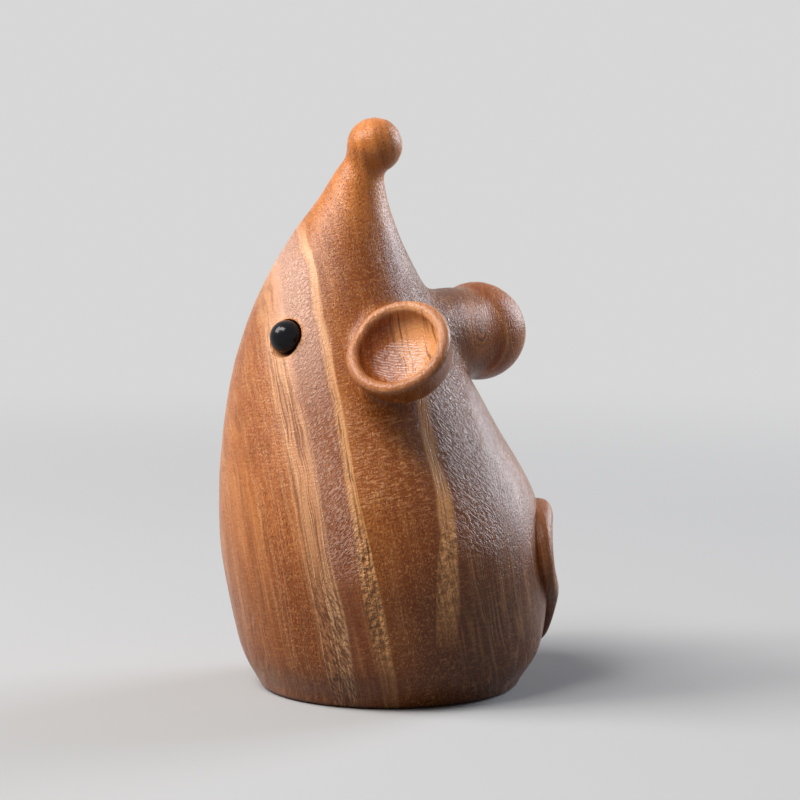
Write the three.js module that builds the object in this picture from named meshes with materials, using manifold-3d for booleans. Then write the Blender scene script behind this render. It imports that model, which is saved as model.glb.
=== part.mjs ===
// A small wooden mouse, carved out of one block, that stands upright with its snout pointing up.
// Two glossy beads are glued into drilled sockets as its eyes.
// Millimetres. The origin is the centre of the flat base, +Z is up and the mouse faces -Y.
import * as THREE from "three";
import { mergeVertices } from "three/addons/utils/BufferGeometryUtils.js";
import Module from "manifold-3d";

// Trunk
const snoutHeight = 48.4;
const trunkWidth = 29.6;
const baseDiameter = 22.5;
const baseEdgeRadius = 0.6;

// The trunk's outline above its base: height as a share of the snout's height, radius as a share of
// half the width, and how far the section's centre stands forward of the base's, in the same share.
const trunkStations = [
  { height: 0.067, radius: 0.904, forward: -0.01 },
  { height: 0.15, radius: 0.965, forward: 0 },
  { height: 0.253, radius: 1.0, forward: 0.026 },
  { height: 0.366, radius: 0.958, forward: 0.087 },
  { height: 0.49, radius: 0.829, forward: 0.191 },
  { height: 0.615, radius: 0.677, forward: 0.271 },
  { height: 0.728, radius: 0.521, forward: 0.293 },
  { height: 0.831, radius: 0.342, forward: 0.285 },
  { height: 0.913, radius: 0.202, forward: 0.23 },
  { height: 0.971, radius: 0.129, forward: 0.18 },
  { height: 1.0, radius: 0.081, forward: 0.152 },
];

// Nose ball, carved round the snout's end: its centre lies above that end and behind it
const noseDiameter = 5.1;
const noseRise = 0.3;
const noseSetBack = 0.85;

// Ears: balls on necks a small step thinner, each with a rim cut flat and a dish scooped out of it
const earDiameter = 9.1;
const earHeight = 31.4;
const earAzimuth = 131;
const earReach = 4.4;
const earFacing = 86;
const earTilt = { left: 36, right: 8 };
const earRimHeight = 1;
const earRimRadius = 0.35;
const dishDepth = 2.5;
const dishAllowance = 0.2;
const rimRoom = 1;
const neckStep = 0.35;
const neckSetBack = 4.5;

// Eyes: drilled sockets, a bead in each and a bed of glue under it
const beadDiameter = 3;
const beadSink = 0.25;
const beadClearance = 0.2;
const glueThickness = 0.6;
const glueClearance = 0.12;
const glueMargin = 0.4;
const eyeHeight = 32.1;
const eyeAzimuth = 75.6;
const drillAzimuth = 73;
const drillRise = 8;

// Tail: a ribbon in relief, curled on the back and then swept down and round to the mouse's right,
// as [azimuth, height] pairs from its upper end to its lower one
const tailPath = [
  [203, 16.1],
  [195, 15.8],
  [187.5, 15.2],
  [183, 14],
  [181, 12.5],
  [182.2, 11],
  [187, 9.7],
  [194.5, 8.5],
  [201.5, 7.2],
  [206.5, 5.7],
  [210.5, 4.3],
  [217.5, 3.3],
  [228, 2.9],
];
const tailUpperWidth = 1.9;
const tailLowerWidth = 1.2;
const tailUpperRelief = 1.1;
const tailLowerRelief = 0.85;

// Fineness of the surfaces
const trunkSides = 48;
const trunkRings = 24;
const noseSides = 24;
const earSides = 36;
const neckSides = 32;
const drillSides = 32;
const beadSides = 20;
const edgeSteps = 4;
const rimSteps = 6;
const ballSteps = 12;
const dishSteps = 9;
const hollowSteps = 5;
const tailSteps = 30;

const wasm = await Module();
wasm.setup();

const degrees = Math.PI / 180;
const halfWidth = trunkWidth / 2;
const earRadius = earDiameter / 2;
const noseRadius = noseDiameter / 2;
const beadRadius = beadDiameter / 2;
const socketRadius = beadRadius + beadClearance;
const socketDepth = beadSink + beadRadius + glueThickness + 2 * glueClearance;

// The mouse's own left is +X.
const sides = [
  { name: "left", sign: 1 },
  { name: "right", sign: -1 },
];

// A geometry as a closed solid that can be joined and cut.
function solidFrom(geometry) {
  const bare = geometry.clone();
  bare.deleteAttribute("normal");
  bare.deleteAttribute("uv");
  const merged = mergeVertices(bare, 1e-4);
  return new wasm.Manifold(
    new wasm.Mesh({
      numProp: 3,
      vertProperties: merged.attributes.position.array,
      triVerts: new Uint32Array(merged.index.array),
    }),
  );
}

// A joined or cut solid back as a geometry.
function geometryFrom(solid) {
  const mesh = solid.getMesh();
  const geometry = new THREE.BufferGeometry();
  geometry.setAttribute("position", new THREE.BufferAttribute(mesh.vertProperties, 3));
  geometry.setIndex(new THREE.BufferAttribute(mesh.triVerts, 1));
  geometry.computeVertexNormals();
  return geometry;
}

// A profile of [radius, height] pairs turned about Z.
function turned(profile, sides) {
  const points = profile.map(([radius, height]) => new THREE.Vector2(radius, height));
  return new THREE.LatheGeometry(points, sides).rotateX(Math.PI / 2);
}

// A level direction: azimuth 0 is +Y's opposite, the way the mouse faces, and 90 is +X, its left.
function levelDirection(azimuth) {
  const angle = azimuth * degrees;
  return new THREE.Vector3(Math.sin(angle), -Math.cos(angle), 0);
}

// Turns a geometry built along +Z so that it points along a direction, and puts it at a place.
function aimed(geometry, direction, place) {
  const up = new THREE.Vector3(0, 0, 1);
  const turn = new THREE.Quaternion().setFromUnitVectors(up, direction.clone().normalize());
  return geometry.applyQuaternion(turn).translate(place.x, place.y, place.z);
}

// Points of a circle's arc about a centre, as [radius, height] pairs, angles in degrees from the level.
function arc(centreRadius, centreHeight, radius, from, to, steps) {
  const points = [];
  for (let step = 0; step <= steps; step += 1) {
    const angle = (from + ((to - from) * step) / steps) * degrees;
    points.push([centreRadius + radius * Math.cos(angle), centreHeight + radius * Math.sin(angle)]);
  }
  return points;
}

// The trunk's outline as one smooth curve: x is the radius, y the section's centre and z the height.
const outline = new THREE.CatmullRomCurve3([
  new THREE.Vector3(baseDiameter / 2 + baseEdgeRadius, 0, baseEdgeRadius),
  ...trunkStations.map(
    (station) =>
      new THREE.Vector3(
        station.radius * halfWidth,
        -station.forward * halfWidth,
        station.height * snoutHeight,
      ),
  ),
]);

// The trunk's section at a height, found by halving the outline's span.
function sectionAt(height) {
  let low = 0;
  let high = 1;
  for (let halving = 0; halving < 40; halving += 1) {
    const middle = (low + high) / 2;
    if (outline.getPoint(middle).z < height) low = middle;
    else high = middle;
  }
  const point = outline.getPoint(low);
  return { radius: point.x, centre: point.y };
}

// The trunk: a turned shape whose rings are then moved forward.
function trunkGeometry() {
  const baseEdge = arc(baseDiameter / 2, baseEdgeRadius, baseEdgeRadius, -90, 0, edgeSteps)
    .slice(0, -1)
    .map(([radius, height]) => new THREE.Vector3(radius, 0, height));
  const rings = outline.getPoints(trunkRings);
  const tip = rings[rings.length - 1];
  const middleBelow = new THREE.Vector3(0, 0, 0);
  const middleAbove = new THREE.Vector3(0, tip.y, tip.z);
  const sections = [middleBelow, ...baseEdge, ...rings, middleAbove];
  const profile = sections.map((section) => [section.x, section.z]);
  const geometry = turned(profile, trunkSides);
  const position = geometry.attributes.position;
  for (let i = 0; i < position.count; i += 1) {
    position.setY(i, position.getY(i) + sections[i % sections.length].y);
  }
  return geometry;
}

function noseSolid() {
  const ball = new THREE.SphereGeometry(noseRadius, noseSides, noseSides / 2);
  const end = outline.getPoint(1);
  return solidFrom(ball.rotateX(Math.PI / 2).translate(0, end.y + noseSetBack, end.z + noseRise));
}

// Where an ear's ball is centred, and the way its dish faces.
function earPlace(side) {
  const section = sectionAt(earHeight);
  const out = levelDirection(earAzimuth).multiplyScalar(section.radius + earReach);
  return new THREE.Vector3(side.sign * out.x, section.centre + out.y, earHeight);
}

function earDirection(side) {
  const tilt = earTilt[side.name] * degrees;
  const level = levelDirection(earFacing).multiplyScalar(Math.cos(tilt));
  return new THREE.Vector3(side.sign * level.x, level.y, Math.sin(tilt));
}

// The rim's round edge runs inside the ball: where its centre lies.
const rimCentreHeight = earRimHeight - earRimRadius;
const rimCentreRadius = Math.sqrt((earRadius - earRimRadius) ** 2 - rimCentreHeight ** 2);

// The dish's hollow below its lip, from the floor's middle outwards, sunk by an allowance.
function dishProfile(allowance) {
  const reach = rimCentreRadius - earRimRadius + allowance;
  const drop = dishDepth - earRimRadius + allowance;
  const points = [];
  for (let step = 0; step <= dishSteps; step += 1) {
    const angle = (step / dishSteps) * 90 * degrees;
    points.push([reach * Math.sin(angle), rimCentreHeight - drop * Math.cos(angle)]);
  }
  return points;
}

// The ear itself: the ball's back and flank, the round rim and the dish.
function earSolid(side) {
  const rimAngle = Math.atan2(rimCentreHeight, rimCentreRadius) / degrees;
  const profile = [
    ...arc(0, 0, earRadius, -90, rimAngle, ballSteps),
    ...arc(rimCentreRadius, rimCentreHeight, earRimRadius, rimAngle, 180, rimSteps).slice(1, -1),
    ...dishProfile(0).reverse(),
  ];
  profile[0][0] = 0;
  profile[profile.length - 1][0] = 0;
  return solidFrom(aimed(turned(profile, earSides), earDirection(side), earPlace(side)));
}

// The room that the dish needs inside the neck, and above the neck out to a little past the rim.
function dishRoom(side) {
  const hollow = dishProfile(dishAllowance);
  const roomRadius = earRadius + rimRoom;
  const profile = [
    ...hollow,
    [roomRadius, rimCentreHeight],
    [roomRadius, earRadius],
    [0, earRadius],
  ];
  profile[0][0] = 0;
  return solidFrom(aimed(turned(profile, earSides), earDirection(side), earPlace(side)));
}

// The neck that carries an ear, from behind the head's middle to inside the ball.
function neckSolid(side) {
  const neckRadius = earRadius - neckStep;
  const section = sectionAt(earHeight);
  const root = new THREE.Vector3(0, section.centre + neckSetBack, earHeight);
  const run = earPlace(side).sub(root);
  const length = run.length() - Math.sqrt(earRadius ** 2 - neckRadius ** 2);
  const drum = new THREE.CylinderGeometry(neckRadius, neckRadius, length, neckSides);
  drum.rotateX(Math.PI / 2).translate(0, 0, length / 2);
  return solidFrom(aimed(drum, run, root));
}

// Where the drill that makes an eye's socket enters the head, and the way back out along it.
function eyePlace(side) {
  const section = sectionAt(eyeHeight);
  const out = levelDirection(eyeAzimuth).multiplyScalar(section.radius);
  return new THREE.Vector3(side.sign * out.x, section.centre + out.y, eyeHeight);
}

function drillDirection(side) {
  const rise = drillRise * degrees;
  const level = levelDirection(drillAzimuth).multiplyScalar(Math.cos(rise));
  return new THREE.Vector3(side.sign * level.x, level.y, Math.sin(rise));
}

function socketSolid(side) {
  const drill = [
    [0, -socketDepth],
    [socketRadius, -socketDepth],
    [socketRadius, socketDepth],
    [0, socketDepth],
  ];
  return solidFrom(aimed(turned(drill, drillSides), drillDirection(side), eyePlace(side)));
}

// The tail's outline with round ends, laid out flat: x runs round the trunk's widest girth, y is height.
function tailOutline() {
  const places = tailPath.map(
    ([azimuth, height]) => new THREE.Vector2(azimuth * degrees * halfWidth, height),
  );
  const middle = new THREE.SplineCurve(places);
  const left = [];
  const right = [];
  for (let step = 0; step <= tailSteps; step += 1) {
    const share = step / tailSteps;
    const point = middle.getPoint(share);
    const along = middle.getTangent(share);
    const across = new THREE.Vector2(-along.y, along.x);
    const reach = THREE.MathUtils.lerp(tailUpperWidth, tailLowerWidth, share) / 2;
    left.unshift(point.clone().addScaledVector(across, reach));
    right.push(point.clone().addScaledVector(across, -reach));
  }
  const cap = (centre, heading, reach) =>
    arc(centre.x, centre.y, reach, heading - 90, heading + 90, rimSteps)
      .slice(1, -1)
      .map(([x, y]) => new THREE.Vector2(x, y));
  const headingAt = (share) => middle.getTangent(share).angle() / degrees;
  const lowerCap = cap(middle.getPoint(1), headingAt(1), tailLowerWidth / 2);
  const upperCap = cap(middle.getPoint(0), headingAt(0) + 180, tailUpperWidth / 2);
  return new THREE.Shape([...right, ...lowerCap, ...left, ...upperCap]);
}

// How far the tail stands out at a height: most at its upper end, least at its lower one.
function tailRelief(height) {
  const upperHeight = tailPath[0][1];
  const lowerHeight = tailPath[tailPath.length - 1][1];
  const share = (height - lowerHeight) / (upperHeight - lowerHeight);
  return THREE.MathUtils.lerp(tailLowerRelief, tailUpperRelief, share);
}

// The tail: its outline given a thickness, then wrapped round the trunk with its underside sunk in.
function tailSolid() {
  const ribbon = new THREE.ExtrudeGeometry(tailOutline(), { depth: 1, bevelEnabled: false, steps: 1 });
  const position = ribbon.attributes.position;
  for (let i = 0; i < position.count; i += 1) {
    const height = position.getY(i);
    const section = sectionAt(height);
    const relief = tailRelief(height);
    const reach = section.radius + (position.getZ(i) > 0 ? relief : -relief);
    const out = levelDirection(position.getX(i) / halfWidth / degrees).multiplyScalar(reach);
    position.setXYZ(i, out.x, section.centre + out.y, height);
  }
  return solidFrom(ribbon);
}

function carvedBody() {
  let body = solidFrom(trunkGeometry()).add(noseSolid()).add(tailSolid());
  for (const side of sides) body = body.add(neckSolid(side)).subtract(dishRoom(side));
  for (const side of sides) body = body.add(earSolid(side)).subtract(socketSolid(side));
  return geometryFrom(body);
}

function beadGeometry(side) {
  const ball = new THREE.SphereGeometry(beadRadius, beadSides, beadSides / 2);
  const place = eyePlace(side).addScaledVector(drillDirection(side), -beadSink);
  return ball.translate(place.x, place.y, place.z);
}

// The bed of glue: flat below, hollowed above to the bead that sits in it.
function glueGeometry(side) {
  const bottom = -socketDepth + glueClearance;
  const hollow = beadRadius + glueClearance;
  const rim = socketRadius - glueMargin;
  const profile = [
    [0, bottom],
    [rim, bottom],
  ];
  for (let step = hollowSteps; step >= 0; step -= 1) {
    const radius = (rim * step) / hollowSteps;
    profile.push([radius, -beadSink - Math.sqrt(hollow ** 2 - radius ** 2)]);
  }
  return aimed(turned(profile, beadSides), drillDirection(side), eyePlace(side));
}

const wood = new THREE.MeshStandardMaterial({ color: 0xb0703c, roughness: 0.42, metalness: 0 });
const blackBead = new THREE.MeshStandardMaterial({ color: 0x07070a, roughness: 0.06, metalness: 0 });
const curedGlue = new THREE.MeshStandardMaterial({ color: 0xb98a45, roughness: 0.3, metalness: 0 });

function namedMesh(name, geometry, material) {
  const mesh = new THREE.Mesh(geometry, material.clone());
  mesh.name = name;
  return mesh;
}

const mouse = new THREE.Group();
mouse.add(namedMesh("carved_body", carvedBody(), wood));
for (const side of sides) {
  mouse.add(namedMesh(`eye_bead_${side.name}`, beadGeometry(side), blackBead));
  mouse.add(namedMesh(`eye_glue_${side.name}`, glueGeometry(side), curedGlue));
}

export default mouse;
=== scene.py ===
# A small mouse carved out of one block of wood, with black beads glued in as its eyes.
# It stands upright on its flat base with its snout pointing up and faces -Y; its own left is +X.
# Sizes are in millimetres and are turned into metres where the meshes are made. Angles are in degrees.
import math

import bmesh
import bpy
import numpy as np
from mathutils import Matrix, Vector, noise

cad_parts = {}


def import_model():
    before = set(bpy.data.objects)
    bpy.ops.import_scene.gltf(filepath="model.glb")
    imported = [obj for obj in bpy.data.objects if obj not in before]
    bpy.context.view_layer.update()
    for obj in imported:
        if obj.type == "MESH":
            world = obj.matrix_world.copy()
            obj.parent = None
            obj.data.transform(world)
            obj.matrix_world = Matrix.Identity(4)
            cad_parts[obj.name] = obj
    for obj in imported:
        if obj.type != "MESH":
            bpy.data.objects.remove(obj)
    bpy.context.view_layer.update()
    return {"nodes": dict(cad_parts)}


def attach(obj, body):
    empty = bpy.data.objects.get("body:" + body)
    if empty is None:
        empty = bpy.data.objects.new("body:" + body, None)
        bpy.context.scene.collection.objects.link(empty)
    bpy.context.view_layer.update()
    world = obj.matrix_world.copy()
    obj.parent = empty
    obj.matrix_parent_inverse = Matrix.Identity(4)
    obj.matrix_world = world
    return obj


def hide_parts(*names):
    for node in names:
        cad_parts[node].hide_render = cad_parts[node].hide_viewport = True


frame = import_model()

MM = 0.001
SIDES = {"left": 1, "right": -1}

# Trunk. A station is (height, radius, forward shift), in shares of the snout's height and half the width
SNOUT_HEIGHT = 48.4
TRUNK_WIDTH = 29.6
BASE_DIAMETER = 22.5
BASE_EDGE_RADIUS = 0.6
TRUNK_STATIONS = [
    (0.067, 0.904, -0.01),
    (0.15, 0.965, 0.0),
    (0.253, 1.0, 0.026),
    (0.366, 0.958, 0.087),
    (0.49, 0.829, 0.191),
    (0.615, 0.677, 0.271),
    (0.728, 0.521, 0.293),
    (0.831, 0.342, 0.285),
    (0.913, 0.202, 0.23),
    (0.971, 0.129, 0.18),
    (1.0, 0.081, 0.152),
]

# Nose ball
NOSE_DIAMETER = 5.1
NOSE_RISE = 0.3
NOSE_SET_BACK = 0.85

# Ears. The left one's rim flares a little, and its neck is thinner and sits lower
EAR_DIAMETER = 9.1
EAR_HEIGHT = 31.4
EAR_AZIMUTH = 131
EAR_REACH = 4.4
EAR_FACING = 86
EAR_TILT = {"left": 36, "right": 8}
RIM_HEIGHT = 1.05
RIM_RADIUS = 0.6
RIM_FLARE = {"left": 0.2, "right": 0.0}
FLARED_BALL_END = -25
FLARED_RIM_START = -20
DISH_DEPTH = 2.5
RIM_ROOM = 1.2
DISH_ALLOWANCE = 0.25
NECK_STEP = 0.35
NECK_SET_BACK = 4.5
NECK_SAG = {"left": 0.35, "right": 0.0}
NECK_THINNING = {"left": 0.5, "right": 0.0}

# Eyes
BEAD_DIAMETER = 3.0
BEAD_SINK = 0.25
BEAD_CLEARANCE = 0.12
SOCKET_DEPTH = 2.59
SOCKET_WORN_EDGE = 0.07
SOCKET_OPENING = 0.2
EYE_HEIGHT = 32.1
EYE_AZIMUTH = 75.6
DRILL_AZIMUTH = 73
DRILL_RISE = 8

# Tail, as (azimuth, height) from its upper end to its lower one
TAIL_PATH = [
    (203, 16.1),
    (195, 15.8),
    (187.5, 15.2),
    (183, 14.0),
    (181, 12.5),
    (182.2, 11.0),
    (187, 9.7),
    (194.5, 8.5),
    (201.5, 7.2),
    (206.5, 5.7),
    (210.5, 4.3),
    (217.5, 3.3),
    (228, 2.9),
]
TAIL_UPPER_WIDTH = 1.9
TAIL_LOWER_WIDTH = 1.2
TAIL_UPPER_RELIEF = 1.12
TAIL_LOWER_RELIEF = 0.85
TAIL_SQUARENESS = 0.72
TAIL_END_ROUND = 1.1
TAIL_END_GAP = 0.02

# Hand work: rounds of softening, how far each crease reaches, and how deep the tools' marks are
SANDING_ROUNDS = 4
FILING_ROUNDS = 40
ROOT_CREASE = 1.7
NAPE_CREASE = 1.2
NECKS_CREASE = 1.4
NOSE_CREASE = 1.8
SNOUT_CREASE = 1.5
CREASE_STRENGTH = 1.5
HAND_WAVE_LENGTH = 6.0
HAND_WAVE_HEIGHT = 0.05
RIPPLE_PITCH = 0.32
RIPPLE_HEIGHT = 0.03
SHARP_ANGLE = 50

# Fineness of the surfaces. An ear's steps are its ball's, its rim's and its dish's
OUTLINE_STEPS = 2000
TRUNK_RINGS = 120
TRUNK_SIDES = 144
BASE_EDGE_STEPS = 6
EAR_SIDES = 96
EAR_STEPS = (32, 12, 24)
EAR_FINE_STEPS = (64, 24, 64)
TAIL_STEPS = 140
TAIL_SIDES = 28
SOCKET_SIDES = 64
BEAD_SIDES = 64
BEAD_RINGS = 40
NOSE_SIDES = 64
NOSE_RINGS = 32
SURFACE_PITCH = 0.305
MERGE_DISTANCE = 1e-5
SLIVER = 0.002

# Studio
CAMERA_AZIMUTH = 110
CAMERA_ELEVATION = 6.4
CAMERA_DISTANCE = 260
CAMERA_TARGET_ASIDE = 1.0
CAMERA_TARGET_HEIGHT = 25.85
CAMERA_LENS = 129.9
CAMERA_SENSOR = 36
LAMPS_AIM = 25
BACKDROP = (0.68, 0.68, 0.68, 1)
ROOM_LIGHT = (0.92, 0.95, 1.0, 1)
ROOM_STRENGTH = 0.15

# The floor, in metres. Its paint is darker for bounced light, so that it lights the mouse less from below
FLOOR_RADIUS = 4.0
FLOOR_SIDES = 96
FLOOR_PAINT = (0.4, 0.4, 0.4, 1)
FLOOR_PAINT_BOUNCED = (0.18, 0.18, 0.18, 1)
GLOW_START = 0.09
GLOW_FULL = 0.26

HALF_WIDTH = TRUNK_WIDTH / 2
EAR_RADIUS = EAR_DIAMETER / 2
BEAD_RADIUS = BEAD_DIAMETER / 2
SOCKET_RADIUS = BEAD_RADIUS + BEAD_CLEARANCE
RIM_CENTRE_HEIGHT = RIM_HEIGHT - RIM_RADIUS
RIM_REACH = math.sqrt((EAR_RADIUS - RIM_RADIUS) ** 2 - RIM_CENTRE_HEIGHT**2)


def level_direction(azimuth):
    """Azimuth 0 is the way the mouse faces, and 90 is its left."""
    angle = math.radians(azimuth)
    return Vector((math.sin(angle), -math.cos(angle), 0))


def raised_direction(azimuth, elevation):
    rise = math.radians(elevation)
    return level_direction(azimuth) * math.cos(rise) + Vector((0, 0, math.sin(rise)))


def on_side(side, direction):
    """A direction or place on the mouse's left, taken over to the given side."""
    return Vector((SIDES[side] * direction.x, direction.y, direction.z))


def smooth_curve(points, share):
    """A point of the smooth curve through a list of points."""
    place = (len(points) - 1) * share
    index = min(int(place), len(points) - 2)
    weight = place - index
    start, end = points[index], points[index + 1]
    before = points[index - 1] if index > 0 else 2 * start - end
    after = points[index + 2] if index + 2 < len(points) else 2 * end - start
    spans = ((before, start), (start, end), (end, after))
    first, second, third = ((b - a).length ** 0.5 for a, b in spans)
    leave = (start - before) / first - (end - before) / (first + second) + (end - start) / second
    arrive = (end - start) / second - (after - start) / (second + third) + (after - end) / third
    leave, arrive = leave * second, arrive * second
    square = -3 * start + 3 * end - 2 * leave - arrive
    cube = 2 * start - 2 * end + leave + arrive
    return start + weight * (leave + weight * (square + weight * cube))


# The trunk's outline: x is the radius, y the section's centre and z the height
OUTLINE = [Vector((BASE_DIAMETER / 2 + BASE_EDGE_RADIUS, 0, BASE_EDGE_RADIUS))] + [
    Vector((radius * HALF_WIDTH, -forward * HALF_WIDTH, height * SNOUT_HEIGHT))
    for height, radius, forward in TRUNK_STATIONS
]
SECTIONS = np.array([smooth_curve(OUTLINE, step / OUTLINE_STEPS) for step in range(OUTLINE_STEPS + 1)])


def section_at(height):
    """The trunk's radius at a height, or at many, and how far back its section's centre stands."""
    heights = SECTIONS[:, 2]
    return np.interp(height, heights, SECTIONS[:, 0]), np.interp(height, heights, SECTIONS[:, 1])


def arc(centre_radius, centre_height, radius, start, end, steps):
    """An arc of a circle as (radius, height) pairs, its angles measured from the level."""
    points = []
    for step in range(steps + 1):
        angle = math.radians(start + (end - start) * step / steps)
        points.append((centre_radius + radius * math.cos(angle), centre_height + radius * math.sin(angle)))
    return points


def spun(profile, steps):
    """A profile of (radius, height) pairs turned about Z into a closed shell."""
    shape = bmesh.new()
    chain = [shape.verts.new((radius, 0, height)) for radius, height in profile]
    edges = [shape.edges.new(pair) for pair in zip(chain, chain[1:])]
    bmesh.ops.spin(
        shape,
        geom=chain + edges,
        cent=(0, 0, 0),
        axis=(0, 0, 1),
        angle=math.tau,
        steps=steps,
        use_merge=True,
        use_duplicate=False,
    )
    bmesh.ops.remove_doubles(shape, verts=shape.verts, dist=MERGE_DISTANCE)
    bmesh.ops.recalc_face_normals(shape, faces=shape.faces)
    return shape


def aim(direction, place):
    """The move that points +Z along a direction and takes the origin to a place."""
    turn = Vector((0, 0, 1)).rotation_difference(direction).to_matrix().to_4x4()
    return Matrix.Translation(place) @ turn


def object_from(name, shape, scale=MM):
    mesh = bpy.data.meshes.new(name)
    bmesh.ops.scale(shape, vec=(scale,) * 3, verts=shape.verts)
    shape.to_mesh(mesh)
    shape.free()
    piece = bpy.data.objects.new(name, mesh)
    bpy.context.scene.collection.objects.link(piece)
    return piece


def gathered(name, pieces):
    """Several pieces as one, still overlapping."""
    whole = bmesh.new()
    for piece in pieces:
        whole.from_mesh(piece.data)
        bpy.data.objects.remove(piece)
    return object_from(name, whole, 1.0)


def settle(piece):
    """Turns the piece's modifiers into its mesh."""
    bpy.context.view_layer.update()
    graph = bpy.context.evaluated_depsgraph_get()
    mesh = bpy.data.meshes.new_from_object(piece.evaluated_get(graph))
    old = piece.data
    piece.modifiers.clear()
    piece.data = mesh
    bpy.data.meshes.remove(old)
    mesh.name = piece.name


def work(piece, operation, tool):
    """Cuts a tool's shape away from the piece, or joins it on."""
    step = piece.modifiers.new("work", "BOOLEAN")
    step.operation = operation
    step.solver = "MANIFOLD"
    step.object = tool
    settle(piece)
    bpy.data.objects.remove(tool)


# Trunk
def trunk_shape():
    rings = [smooth_curve(OUTLINE, step / TRUNK_RINGS) for step in range(TRUNK_RINGS + 1)]
    edge = arc(BASE_DIAMETER / 2, BASE_EDGE_RADIUS, BASE_EDGE_RADIUS, -90, 0, BASE_EDGE_STEPS)[:-1]
    profile = [(0, 0)] + edge + [(ring.x, ring.z) for ring in rings] + [(0, rings[-1].z)]
    shape = spun(profile, TRUNK_SIDES)
    for vert in shape.verts:
        vert.co.y += section_at(vert.co.z)[1]
    return shape


def nose_place():
    end = smooth_curve(OUTLINE, 1)
    return Vector((0, end.y + NOSE_SET_BACK, end.z + NOSE_RISE))


def nose_shape():
    shape = bmesh.new()
    radius = NOSE_DIAMETER / 2
    bmesh.ops.create_uvsphere(shape, u_segments=NOSE_SIDES, v_segments=NOSE_RINGS, radius=radius)
    bmesh.ops.translate(shape, vec=nose_place(), verts=shape.verts)
    return shape


# Ears
def ear_place(side):
    radius, centre = section_at(EAR_HEIGHT)
    out = level_direction(EAR_AZIMUTH) * (radius + EAR_REACH)
    return on_side(side, Vector((out.x, centre + out.y, EAR_HEIGHT)))


def ear_direction(side):
    return on_side(side, raised_direction(EAR_FACING, EAR_TILT[side]))


def ear_matrix(side):
    return aim(ear_direction(side), ear_place(side))


def rim_reach(side):
    return RIM_REACH + RIM_FLARE[side]


def dish_profile(side, allowance, steps):
    """The dish's hollow from its floor's middle up to its lip, sunk by an allowance."""
    reach = rim_reach(side) - RIM_RADIUS + allowance
    drop = DISH_DEPTH - RIM_RADIUS + allowance
    angles = [math.radians(90 * step / steps) for step in range(steps + 1)]
    return [(reach * math.sin(angle), RIM_CENTRE_HEIGHT - drop * math.cos(angle)) for angle in angles]


def ear_profile(side, ball_steps, rim_steps, dish_steps):
    """The ball's back and flank, the round rim and the dish, as (radius, height) pairs."""
    if RIM_FLARE[side]:
        ball_end, rim_start = FLARED_BALL_END, FLARED_RIM_START
    else:
        ball_end = rim_start = math.degrees(math.atan2(RIM_CENTRE_HEIGHT, RIM_REACH))
    profile = arc(0, 0, EAR_RADIUS, -90, ball_end, ball_steps)
    profile += arc(rim_reach(side), RIM_CENTRE_HEIGHT, RIM_RADIUS, rim_start, 180, rim_steps)[1:-1]
    return profile + dish_profile(side, 0, dish_steps)[::-1]


def ear_shape(side):
    shape = spun(ear_profile(side, *EAR_STEPS), EAR_SIDES)
    bmesh.ops.transform(shape, matrix=ear_matrix(side), verts=shape.verts)
    return shape


def dish_room(side):
    """The room that the dish needs inside the neck, and above it out to a little past the rim."""
    hollow = dish_profile(side, DISH_ALLOWANCE, EAR_STEPS[2])
    room = EAR_RADIUS + RIM_ROOM
    profile = hollow + [(room, RIM_CENTRE_HEIGHT), (room, EAR_RADIUS), (0, EAR_RADIUS)]
    shape = spun(profile, EAR_SIDES)
    bmesh.ops.transform(shape, matrix=ear_matrix(side), verts=shape.verts)
    return shape


# Necks: they start behind the head's middle and end inside the ears' balls
def neck_root():
    return Vector((0, section_at(EAR_HEIGHT)[1] + NECK_SET_BACK, EAR_HEIGHT))


def neck_run(side):
    return ear_place(side) - neck_root()


def neck_radius(side):
    return EAR_RADIUS - NECK_STEP - NECK_THINNING[side]


def neck_piece(side):
    radius = neck_radius(side)
    run = neck_run(side)
    length = run.length - math.sqrt(EAR_RADIUS**2 - radius**2)
    sag = Vector((0, 0, NECK_SAG[side]))
    shape = spun([(0, 0), (radius, 0), (radius, length), (0, length)], EAR_SIDES)
    bmesh.ops.transform(shape, matrix=aim(run, neck_root() - sag), verts=shape.verts)
    neck = object_from("neck", shape)
    work(neck, "DIFFERENCE", object_from("room", dish_room(side)))
    return neck


# Tail
def tail_width(share):
    return TAIL_UPPER_WIDTH + (TAIL_LOWER_WIDTH - TAIL_UPPER_WIDTH) * share


def tail_relief(height):
    upper, lower = TAIL_PATH[0][1], TAIL_PATH[-1][1]
    share = (height - lower) / (upper - lower)
    return TAIL_LOWER_RELIEF + (TAIL_UPPER_RELIEF - TAIL_LOWER_RELIEF) * share


def squared(value):
    """A circle's coordinate, drawn out a little towards a square's."""
    return math.copysign(abs(value) ** TAIL_SQUARENESS, value)


def laid_on_trunk(place, lift):
    """A place of the tail's flat drawing, wrapped round the trunk and lifted off it."""
    radius, centre = section_at(place.y)
    out = level_direction(math.degrees(place.x / HALF_WIDTH)) * (radius + lift)
    return Vector((out.x, centre + out.y, place.y))


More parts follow.
